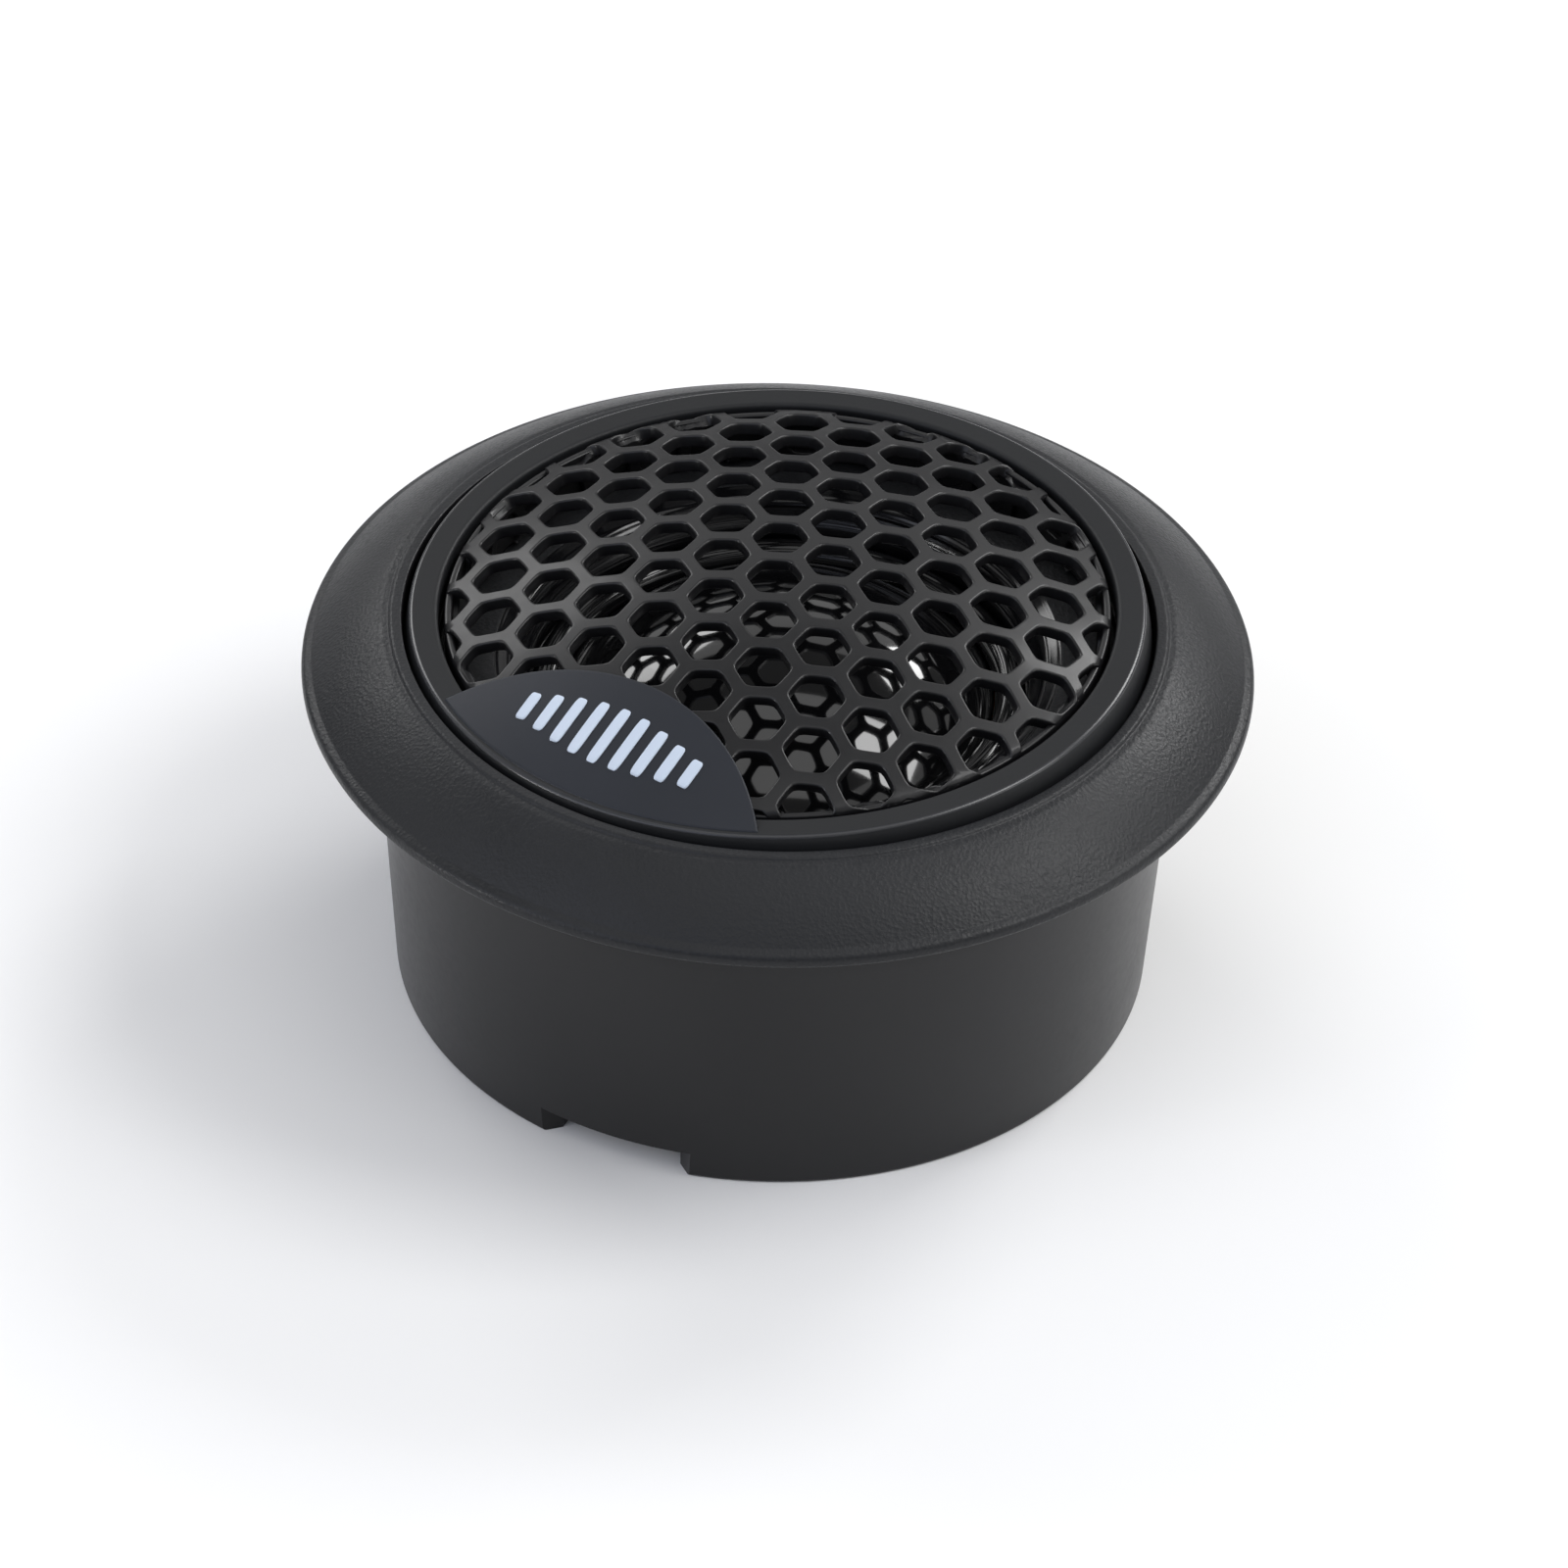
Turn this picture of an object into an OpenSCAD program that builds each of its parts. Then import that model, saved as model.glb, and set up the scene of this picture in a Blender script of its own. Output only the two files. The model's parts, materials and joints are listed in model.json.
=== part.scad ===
// Aimable car tweeter in a flush-mount cup, in millimetres.
// The origin is the centre of the cup's bottom face, and +Z points out of the front.
// The capsule is drawn level about its ball centre, and in_capsule() then places and tilts it.

/* [Mounting cup] */
// Outer radius of the flange
flange_r = 28; // [27:0.5:30]
// Outer radius of the cylindrical band that enters the panel
spigot_r = 23.6; // [23.5:0.1:24]
// Outer radius of the cup wall at its bottom edge
base_r = 22.6; // [22.4:0.1:23.2]
// Height of the flange's underside above the bottom edge
seat_z = 20.6; // [20.4:0.1:21.2]
// Length of the cylindrical band below the flange
spigot_len = 4; // [3:0.5:6]
// Thickness of the flange at its outer edge
rim_t = 0.7; // [0.5:0.1:1]
// Height of the inner lip above the bottom edge
lip_z = 24.4; // [24.2:0.1:24.8]
// Radius of the opening inside the lip
lip_r = 22.1; // [22.1:0.05:22.3]
// Height of the flange's slope halfway up, above a straight line
slope_crown = 0.25; // [0:0.05:0.4]
// Thickness of the cup's floor
floor_t = 1.4; // [1:0.1:2]
// Radius of the opening in the floor
floor_r = 13; // [11:0.5:14]
// Distance between the two surface-mounting screw holes
screw_spacing = 35; // [34:0.5:36]
// Radius of a surface-mounting screw hole
screw_hole_r = 1.7; // [1.5:0.1:1.8]

/* [Wire notch] */
// Direction of the notch round the cup
notch_az = 246.85; // [0:1:359]
// Width of the notch at the outside of the wall
notch_w = 9.74; // [8:0.1:11]
// Height of the notch
notch_h = 1.8; // [1.5:0.1:2.5]

/* [Swivel] */
// Height of the ball centre above the bottom edge
pivot_z = 20; // [19.8:0.1:20.2]
// Radius of the capsule's ball-shaped side
ball_r = 22.17; // [22:0.01:22.2]
// Clearance between the ball and its seat
ball_gap = 0.13; // [0.1:0.01:0.2]
// Tilt of the capsule at rest
rest_tilt = 1.5; // [0:0.1:10]
// Direction round the cup of the capsule's raised side
rest_az = 25; // [-180:1:180]

/* [Capsule front] */
// Height of the bezel's top above the ball centre
bezel_top = 5.2; // [5:0.1:5.3]
// Radius of the opening inside the bezel
bezel_in_r = 19.85; // [19.7:0.05:19.9]
// Height of the grille dome from edge to crown
grille_rise = 3.6; // [3:0.1:4.2]
// Distance between neighbouring grille cells
cell_pitch = 3.77; // [3.4:0.01:4.4]
// Width of a grille strut
strut_w = 0.85; // [0.6:0.05:1.1]
// Thickness of the grille
grille_t = 0.8; // [0.6:0.05:1]
// Turn of the cell pattern round the capsule's axis
cell_turn = -4; // [-30:1:30]

/* [Badge] */
// Direction of the badge round the capsule
badge_az = 237; // [0:1:359]
// Distance of the badge's round inner edge centre from the axis
badge_arc_d = 27.7; // [26:0.1:29]
// Radius of the badge's round inner edge
badge_arc_r = 14.5; // [13:0.1:15]
// Number of bars in the generic mark
bar_count = 9; // [5:2:11]

/* [Motor and diaphragm] */
// Radius of the dome where it meets the coil former
dome_r = 12.75; // [12.7:0.05:12.8]
// Height of the dome
dome_rise = 5.5; // [4:0.5:6]
// Outer radius of the steel yoke
yoke_r = 15.1; // [15:0.1:15.2]
// Radius inside the yoke
yoke_in_r = 13.6; // [13.5:0.1:13.7]
// Radius of the magnet
magnet_r = 11; // [10:0.5:11.5]

/* [Hidden] */
$fn = 96;
eps = 0.01;

seat_r = ball_r + ball_gap;          // radius of the spherical seat in the cup
bead_h = 3.4;                        // top of the seat, which keeps the ball in
groove_top_h = -7.1;                 // groove of the friction ring, counted from the ball centre
groove_bottom_h = -8.8;
groove_r = 22.05;                    // outer wall of the groove
shelf_bottom_h = -10.4;              // underside of the shelf below the groove
shelf_gap = 0.3;                     // extra clearance between shelf and ball
ring_bottom_h = -8.75;               // friction ring, just clear of its ledge
ring_top_h = -7.2;
ring_gap = 0.06;                     // clearance between friction ring and ball
wall_t = 1.2;                        // thickness of the cup wall below the seat
slope_top_r = 23.3;                  // where the flange's slope meets the step round the lip
step_h = 0.22;                       // height of that step

shell_top = 2.4;                     // top of the shell, where the bezel sits
shell_in_r = 20.45;                  // upper bore of the shell
shell_foot_r = 16.4;                 // bore at the shell's rear
cap_r = 17.2;
cap_collar_r = 15.5;                 // collar on the rear cap, inside the shell
collar_t = 0.6;
ledge_h = -1.5;                      // ledge the face plate rests on
motor_h = -3;                        // top of the yoke and of the pole piece
pole_bottom_h = -5;                  // underside of the pole piece, top of the magnet
gap_floor_h = -8;                    // inside bottom of the yoke
vent_r = 1.5;                        // vent through the motor's middle
pole_r = 12.3;
yoke_bottom_h = -10.2;
shell_bottom_h = -12.2;
cap_bottom_h = -13.6;
board_t = 0.8;
coil_h = -1.6;                       // top of the coil former
former_t = 0.15;
former_bottom_h = -5.3;
winding_r = 13.2;
dome_t = 0.3;
carrier_t = 1.2;
carrier_r = 19.05;
surround_t = 0.3;
face_top = 1.6;                      // top of the textured ring
face_throat_r = 14.8;
face_recess_r = 19.95;               // outer wall of the recess for the grille's edge
screw_ring_r = 17.2;                 // circle of the clamp screws
screw_shank_r = 0.72;
screw_head_r = 1.4;

grille_edge_r = 19.5;
grille_edge_h = 5.2;                 // height of the grille's dome at its edge
grille_hem = 0.6;                    // width of the grille's turned-down edge
grille_foot_h = 2.2;                 // top of the unbroken hem at the grille's foot
grille_sphere_r = (grille_edge_r * grille_edge_r + grille_rise * grille_rise) / (2 * grille_rise);
dome_sphere_r = (dome_r * dome_r + dome_rise * dome_rise) / (2 * dome_rise);
badge_skin = 0.55;                   // thickness of the badge plate
badge_gap = 0.15;                    // clearance between badge and grille
bar_w = 0.7;                         // width of one bar
bar_step = 1.4;                      // distance from bar to bar
bar_short = 1.4;                     // length of the mark's end bars
bar_long = 3.8;                      // length of its middle bar
mark_r = 17.2;                       // distance of the mark from the axis
print_t = 0.1;                       // how far the mark stands off the plate
lead_x = 4.2;
lead_y = 15.3;
lead_r = 0.3;

// Radius of a sphere of radius r at height h over its centre
function sphere_at(r, h) = sqrt(r * r - h * h);

// Points of a sphere's outline between two heights, n steps
function ball_arc(r, h0, h1, n = 12) =
    [for (i = [0 : n]) let (h = h0 + (h1 - h0) * i / n) [sphere_at(r, h), h]];

// The same points, counted from the cup's bottom edge
function raised(points) = [for (p = points) [p[0], pivot_z + p[1]]];

// Height of the badge's underside at radius r: the grille's sphere, carried on over the bezel
function badge_h(r) =
    grille_edge_h + badge_gap + sphere_at(grille_sphere_r, r) - sphere_at(grille_sphere_r, grille_edge_r);

// Places what is drawn level round the ball centre
module in_capsule() {
    translate([0, 0, pivot_z])
        rotate(a = rest_tilt, v = [cos(rest_az - 90), sin(rest_az - 90), 0])
            children();
}

// Ring between two radii and two heights
module ring(r_in, r_out, h0, h1) {
    translate([0, 0, h0])
        difference() {
            cylinder(r = r_out, h = h1 - h0);
            translate([0, 0, -eps])
                cylinder(r = r_in, h = h1 - h0 + 2 * eps);
        }
}

// Funnel-shaped notch outline, wide at the outside and straight further in
module notch_outline() {
    wall = 1.3;
    flare = wall * tan(40);
    half = notch_w / 2;
    polygon([[base_r - 7, -half + flare], [base_r - wall - 0.1, -half + flare], [base_r - 0.4, -half],
        [base_r + 2, -half], [base_r + 2, half], [base_r - 0.4, half],
        [base_r - wall - 0.1, half - flare], [base_r - 7, half - flare]]);
}

module mounting_cup() {
    wall_in = base_r - wall_t;
    rim_z = seat_z + rim_t;
    slope_mid = [(flange_r + slope_top_r) / 2, (rim_z + lip_z - step_h) / 2 + slope_crown];
    color("dimgray")
        difference() {
            rotate_extrude()
                polygon(concat(
                    [[floor_r, 0], [base_r, 0], [spigot_r, seat_z - spigot_len], [spigot_r, seat_z],
                        [flange_r - 0.3, seat_z], [flange_r, seat_z + 0.25], [flange_r, rim_z - 0.2],
                        [flange_r - 0.3, rim_z], slope_mid, [slope_top_r, lip_z - step_h],
                        [slope_top_r - 0.35, lip_z - 0.15], [slope_top_r - 0.5, lip_z],
                        [lip_r + 0.15, lip_z], [lip_r, lip_z - 0.15]],
                    raised(ball_arc(seat_r, bead_h, groove_top_h, 16)),
                    raised([[groove_r, groove_top_h], [groove_r, groove_bottom_h]]),
                    raised(ball_arc(seat_r + shelf_gap, groove_bottom_h, shelf_bottom_h, 3)),
                    raised([[wall_in, shelf_bottom_h - 1.8]]),
                    [[wall_in, floor_t], [floor_r, floor_t]]));
            rotate(notch_az)
                translate([0, 0, -eps])
                    linear_extrude(notch_h + eps)
                        notch_outline();
            for (side = [-1, 1])
                translate([side * screw_spacing / 2, 0, -eps])
                    cylinder(r = screw_hole_r, h = floor_t + 2 * eps, $fn = 48);
        }
}

module friction_ring() {
    color("black")
        translate([0, 0, pivot_z])
            rotate_extrude()
                polygon(concat([[groove_r - 0.1, ring_bottom_h], [groove_r - 0.1, ring_top_h]],
                    ball_arc(ball_r + ring_gap, ring_top_h, ring_bottom_h, 4)));
}

module capsule_shell() {
    color("darkslategray")
        in_capsule()
            rotate_extrude()
                polygon(concat(ball_arc(ball_r, shell_bottom_h, shell_top, 16),
                    [[shell_in_r, shell_top], [shell_in_r, ledge_h], [carrier_r + 0.05, ledge_h],
                        [carrier_r + 0.05, motor_h - 0.2], [shell_foot_r, shell_bottom_h]]));
}

module rear_cap() {
    color("dimgray")
        in_capsule()
            difference() {
                union() {
                    translate([0, 0, cap_bottom_h])
                        cylinder(r = cap_r, h = shell_bottom_h - cap_bottom_h);
                    ring(cap_collar_r - collar_t, cap_collar_r, shell_bottom_h - eps, shell_bottom_h + 0.8);
                }
                lead_lines(0.5, cap_bottom_h - 1, shell_bottom_h + 2);
            }
}

module bezel_ring() {
    color("dimgray")
        in_capsule()
            difference() {
                rotate_extrude()
                    polygon(concat(ball_arc(ball_r, shell_top, bezel_top - 0.35, 6),
                        [[21.55, bezel_top - 0.1], [21.42, bezel_top], [bezel_in_r + 0.15, bezel_top],
                            [bezel_in_r, bezel_top - 0.2], [bezel_in_r, 3.4], [shell_in_r, 3],
                            [shell_in_r, shell_top]]));
                badge_blank(3);
            }
}

// Lens-shaped outline of the badge
module badge_outline() {
    intersection() {
        circle(r = 21.2);
        rotate(badge_az)
            translate([badge_arc_d, 0])
                circle(r = badge_arc_r);
    }
}

// Cross-section of the badge between its underside and its upper skin
module badge_body(skin) {
    radii = [for (r = [10.6 : 1.2 : 21.4]) r];
    under = [for (r = radii) [r, badge_h(r)]];
    upper = [for (i = [len(radii) - 1 : -1 : 0]) [radii[i], badge_h(radii[i]) + skin]];
    rotate_extrude()
        polygon(concat(under, upper));
}

// The badge with a skin of any thickness: a thick one cuts its seat in the bezel
module badge_blank(skin) {
    intersection() {
        badge_body(skin);
        linear_extrude(20)
            badge_outline();
    }
}

module badge_plate() {
    color("black")
        in_capsule()
            badge_blank(badge_skin);
}

// Row of bars, longest in the middle, like a level display
module mark_outline() {
    middle = (bar_count - 1) / 2;
    rotate(badge_az)
        translate([mark_r, 0])
            for (i = [0 : bar_count - 1]) {
                length = bar_short + (bar_long - bar_short) * pow(cos(80 * (i - middle) / (middle + 1)), 2);
                translate([0, (i - middle) * bar_step])
                    square([length, bar_w], center = true);
            }
}

module badge_print() {
    color("lightsteelblue")
        in_capsule()
            intersection() {
                difference() {
                    badge_body(badge_skin + print_t);
                    badge_body(badge_skin);
                }
                linear_extrude(20)
                    mark_outline();
            }
}

// Hexagonal cells of the grille, with points to the left and right
module grille_cells() {
    step_x = cell_pitch * sqrt(3) / 2;
    cell_r = (cell_pitch - strut_w) / sqrt(3);
    reach = 6;
    rotate(cell_turn)
        for (col = [-reach : reach])
            for (row = [-reach : reach]) {
                x = col * step_x;
                y = (row + (abs(col) % 2 == 1 ? 0 : 0.5)) * cell_pitch;
                if (norm([x, y]) < grille_edge_r + 1.4)
                    translate([x, y])
                        circle(r = cell_r, $fn = 6);
            }
}

module grille() {
    centre_h = grille_edge_h + grille_rise - grille_sphere_r;
    color("black")
        in_capsule()
            union() {
                difference() {
                    union() {
                        intersection() {
                            translate([0, 0, centre_h])
                                difference() {
                                    sphere(r = grille_sphere_r);
                                    sphere(r = grille_sphere_r - grille_t);
                                }
                            translate([0, 0, grille_edge_h - 0.9])
                                cylinder(r = grille_edge_r, h = grille_rise + 2);
                        }
                        ring(grille_edge_r - grille_hem, grille_edge_r,
                            grille_foot_h - 0.2, grille_edge_h - 0.1);
                    }
                    translate([0, 0, grille_foot_h])
                        linear_extrude(10)
                            grille_cells();
                }
                ring(grille_edge_r - grille_hem, grille_edge_r, face_top, grille_foot_h);
            }
}

module face_plate() {
    horn = [for (i = [0 : 6]) let (a = 90 * i / 6)
        [16.8 - 2 * sin(a), face_top - 2.5 * (1 - cos(a))]];
    color("black")
        in_capsule()
            difference() {
                rotate_extrude()
                    polygon(concat([[face_throat_r, ledge_h], [shell_in_r - 0.05, ledge_h],
                        [shell_in_r - 0.05, shell_top], [face_recess_r, shell_top],
                        [face_recess_r, face_top]], horn));
                screw_lines(0.75, ledge_h - 1, ledge_h + 2.2);
            }
}

module surround() {
    mid_r = 13.74;
    roll_r = 0.94;
    base_h = ledge_h - surround_t;
    skin = 0.22;
    outer = [for (i = [0 : 10]) [mid_r + roll_r * cos(18 * i), ledge_h + roll_r * sin(18 * i)]];
    inner = [for (i = [10 : -1 : 0])
        [mid_r + (roll_r - skin) * cos(18 * i), ledge_h + (roll_r - skin) * sin(18 * i)]];
    color("black")
        in_capsule()
            difference() {
                union() {
                    rotate_extrude()
                        polygon(concat(outer, inner));
                    ring(mid_r + roll_r - skin, carrier_r - 0.1, base_h, ledge_h);
                }
                screw_lines(0.85, base_h - 1, ledge_h + 1);
            }
}

module dome() {
    centre_h = coil_h + dome_rise - dome_sphere_r;
    color("black")
        in_capsule()
            intersection() {
                translate([0, 0, centre_h])
                    difference() {
                        sphere(r = dome_sphere_r);
                        sphere(r = dome_sphere_r - dome_t);
                    }
                translate([0, 0, coil_h])
                    cylinder(r = dome_r, h = dome_rise + 1);
            }
}

module voice_coil_former() {
    color("goldenrod")
        in_capsule()
            ring(dome_r - former_t, dome_r, former_bottom_h, coil_h);
}

module voice_coil() {
    color("chocolate")
        in_capsule()
            ring(dome_r, winding_r, former_bottom_h + 0.1, motor_h + 0.2);
}

module carrier_ring() {
    color("gray")
        in_capsule()
            difference() {
                ring(14.5, carrier_r - 0.02, motor_h, motor_h + carrier_t);
                screw_lines(0.8, motor_h - 1, motor_h + 3);
            }
}

// Three lines where the clamp screws sit
module screw_lines(r, h0, h1) {
    for (a = [30, 150, 270])
        rotate(a)
            translate([screw_ring_r, 0, h0])
                cylinder(r = r, h = h1 - h0, $fn = 32);
}

module clamp_screws() {
    color("silver")
        in_capsule()
            difference() {
                union() {
                    screw_lines(screw_shank_r, motor_h - 0.5, ledge_h + 2);
                    screw_lines(screw_head_r, motor_h - 1, motor_h);
                }
                for (a = [30, 150, 270])
                    rotate(a)
                        translate([screw_ring_r, 0, motor_h - 1 - eps])
                            for (turn = [0, 90])
                                rotate(turn)
                                    translate([-0.8, -0.15, 0])
                                        cube([1.6, 0.3, 0.4]);
            }
}

module top_plate() {
    color("silver")
        in_capsule()
            ring(vent_r, pole_r, pole_bottom_h, motor_h);
}

module magnet() {
    color("gainsboro")
        in_capsule()
            ring(vent_r, magnet_r, gap_floor_h, pole_bottom_h);
}

module yoke() {
    color("silver")
        in_capsule()
            difference() {
                translate([0, 0, yoke_bottom_h])
                    cylinder(r = yoke_r, h = motor_h - yoke_bottom_h);
                translate([0, 0, gap_floor_h])
                    cylinder(r = yoke_in_r, h = 10);
                translate([0, 0, yoke_bottom_h - eps])
                    cylinder(r = vent_r, h = 5, $fn = 48);
            }
}

module damping_pad() {
    color("tan")
        in_capsule()
            translate([0, 0, motor_h])
                cylinder(r = 9, h = 1.5);
}

module rear_foam() {
    color("dimgray")
        in_capsule()
            translate([0, 0, shell_bottom_h])
                cylinder(r = 14, h = yoke_bottom_h - shell_bottom_h);
}

module terminal_board() {
    color("darkgreen")
        in_capsule()
            difference() {
                translate([-5.2, 9.8, cap_bottom_h - board_t])
                    cube([10.4, 6.2, board_t]);
                lead_lines(lead_r + 0.05, cap_bottom_h - 2, cap_bottom_h + 1);
            }
}

module terminal_tabs() {
    color("gold")
        in_capsule()
            for (side = [-1, 1])
                translate([side * 2.6 - 1.1, 11, cap_bottom_h - board_t - 1.9])
                    difference() {
                        cube([2.2, 0.5, 1.9]);
                        translate([1.1, -1, 0.7])
                            rotate([-90, 0, 0])
                                cylinder(r = 0.5, h = 3, $fn = 32);
                    }
}

// Two lines where the coil's leads run
module lead_lines(r, h0, h1) {
    for (side = [-1, 1])
        translate([side * lead_x, lead_y, h0])
            cylinder(r = r, h = h1 - h0, $fn = 24);
}

module coil_leads() {
    color("orange")
        in_capsule()
            lead_lines(lead_r, cap_bottom_h - board_t, motor_h);
}

mounting_cup();
friction_ring();
capsule_shell();
rear_cap();
bezel_ring();
badge_plate();
badge_print();
grille();
face_plate();
surround();
dome();
voice_coil_former();
voice_coil();
carrier_ring();
clamp_screws();
top_plate();
magnet();
yoke();
damping_pad();
rear_foam();
terminal_board();
terminal_tabs();
coil_leads();
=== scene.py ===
"""Aimable car tweeter in a flush-mount cup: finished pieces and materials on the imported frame."""
import json
import logging
import math
from dataclasses import dataclass, field
from enum import Enum
from typing import Iterable, Optional, Sequence, Union

import bmesh
import bpy
import numpy as np
from mathutils import Matrix, Vector


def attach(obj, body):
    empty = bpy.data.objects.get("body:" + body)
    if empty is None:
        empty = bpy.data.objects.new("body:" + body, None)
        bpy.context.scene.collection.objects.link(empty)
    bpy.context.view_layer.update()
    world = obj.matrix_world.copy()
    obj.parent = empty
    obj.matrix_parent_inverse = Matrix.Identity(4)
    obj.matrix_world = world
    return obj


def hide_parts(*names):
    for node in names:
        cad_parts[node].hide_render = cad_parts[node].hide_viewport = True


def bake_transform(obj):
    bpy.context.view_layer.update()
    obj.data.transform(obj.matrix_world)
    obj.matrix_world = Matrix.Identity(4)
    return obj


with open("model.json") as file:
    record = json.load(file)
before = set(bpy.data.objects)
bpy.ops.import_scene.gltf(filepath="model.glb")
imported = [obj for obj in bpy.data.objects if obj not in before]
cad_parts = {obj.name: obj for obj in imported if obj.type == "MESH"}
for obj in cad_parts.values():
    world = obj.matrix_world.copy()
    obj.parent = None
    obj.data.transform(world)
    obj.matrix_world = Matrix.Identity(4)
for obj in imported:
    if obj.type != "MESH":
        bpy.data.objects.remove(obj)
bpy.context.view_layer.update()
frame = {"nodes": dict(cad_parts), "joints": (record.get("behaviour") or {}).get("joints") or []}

LOG = logging.getLogger("tweeter")
MM = 0.001                  # metres in a millimetre
FULL_TURN = 2 * math.pi
COLUMNS = 256               # steps round a full turn of a large ring
WELD = 2e-7                 # distance in metres under which two points are one
WEAR_RANGE = (0.4, 1.6)     # usual range of a finish's slow and fine patterns added up
WAVE_STEP = FULL_TURN / 20  # distance at which a Wave node of scale 1 repeats

# radius or distance, height and setback of a corner, in millimetres
Corner = tuple[float, float, float]


# ---------------------------------------------------------------- axes and measuring

@dataclass(frozen=True)
class Axes:
    """Where a sub-assembly is drawn: a centre in millimetres and a turn of its own +Z."""

    centre: np.ndarray
    turn: np.ndarray

    @classmethod
    def upright(cls) -> "Axes":
        """The cup's axes: the bottom of the object, +Z out of the front."""
        return cls(np.zeros(3), np.eye(3))

    @classmethod
    def capsule(cls) -> "Axes":
        """The capsule's axes at rest: its ball centre, and the diaphragm's line of travel as +Z."""
        joints = {joint["name"]: joint for joint in frame["joints"]}
        centre = np.array(joints["capsule_tilt"]["pos_m"], float) / MM
        travel = Vector(joints["diaphragm_travel"]["axis"])
        turn = Vector((0, 0, 1)).rotation_difference(travel).to_matrix()
        return cls(centre, np.array(turn))

    def place(self, points: np.ndarray) -> np.ndarray:
        """Turns points in millimetres in these axes into metres in the object's frame."""
        return (points @ self.turn.T + self.centre) * MM

    def extent(self, node: str) -> "Extent":
        """Measures a CAD node in these axes.

        Args:
            node: name of the CAD node.

        Returns:
            Its largest radius and its lowest and highest level, in millimetres.
        """
        vertices = frame["nodes"][node].data.vertices
        flat = np.empty(len(vertices) * 3, np.float32)
        vertices.foreach_get("co", flat)
        local = (flat.reshape(-1, 3).astype(float) / MM - self.centre) @ self.turn
        radius = np.hypot(local[:, 0], local[:, 1])
        return Extent(float(radius.max()), float(local[:, 2].min()), float(local[:, 2].max()))


@dataclass(frozen=True)
class Extent:
    """Largest radius, lowest level and highest level of a node, in millimetres."""

    radius: float
    low: float
    high: float


# ---------------------------------------------------------------- finishes

class Grain(Enum):
    """How a surface was made, which sets the pattern of its bump and its changes of gloss."""

    SPARK = "spark eroded mould"
    SATIN = "satin mould"
    PEEL = "flowed paint"
    TURNED = "turned on a lathe"
    WOUND = "wound wire"
    PORES = "open pores"
    FIBRES = "pressed fibres"
    WEAVE = "woven laminate"


def linear(colour: str) -> tuple[float, float, float, float]:
    """Turns an sRGB hex colour such as "#2a2b2e" into linear values.

    Args:
        colour: the sRGB colour, with or without its #.

    Returns:
        Red, green, blue and an alpha of 1.
    """
    text = colour.lstrip("#")
    parts = np.array([int(text[i:i + 2], 16) for i in (0, 2, 4)]) / 255
    values = np.where(parts <= 0.04045, parts / 12.92, ((parts + 0.055) / 1.055) ** 2.4)
    return (*map(float, values), 1.0)


def add_node(tree: bpy.types.NodeTree, kind: str, settings: Optional[dict] = None,
             inputs: Optional[dict] = None) -> bpy.types.Node:
    """Adds one shader node with its settings and its inputs.

    Args:
        tree: the node tree it goes into.
        kind: the node's type, without the leading ShaderNode.
        settings: the node's own properties by name.
        inputs: values, or sockets to link, by the input's name or number.

    Returns:
        The new node.
    """
    node = tree.nodes.new("ShaderNode" + kind)
    for key, value in (settings or {}).items():
        setattr(node, key, value)
    for key, value in (inputs or {}).items():
        if isinstance(value, bpy.types.NodeSocket):
            tree.links.new(value, node.inputs[key])
        else:
            node.inputs[key].default_value = value
    return node


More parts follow.
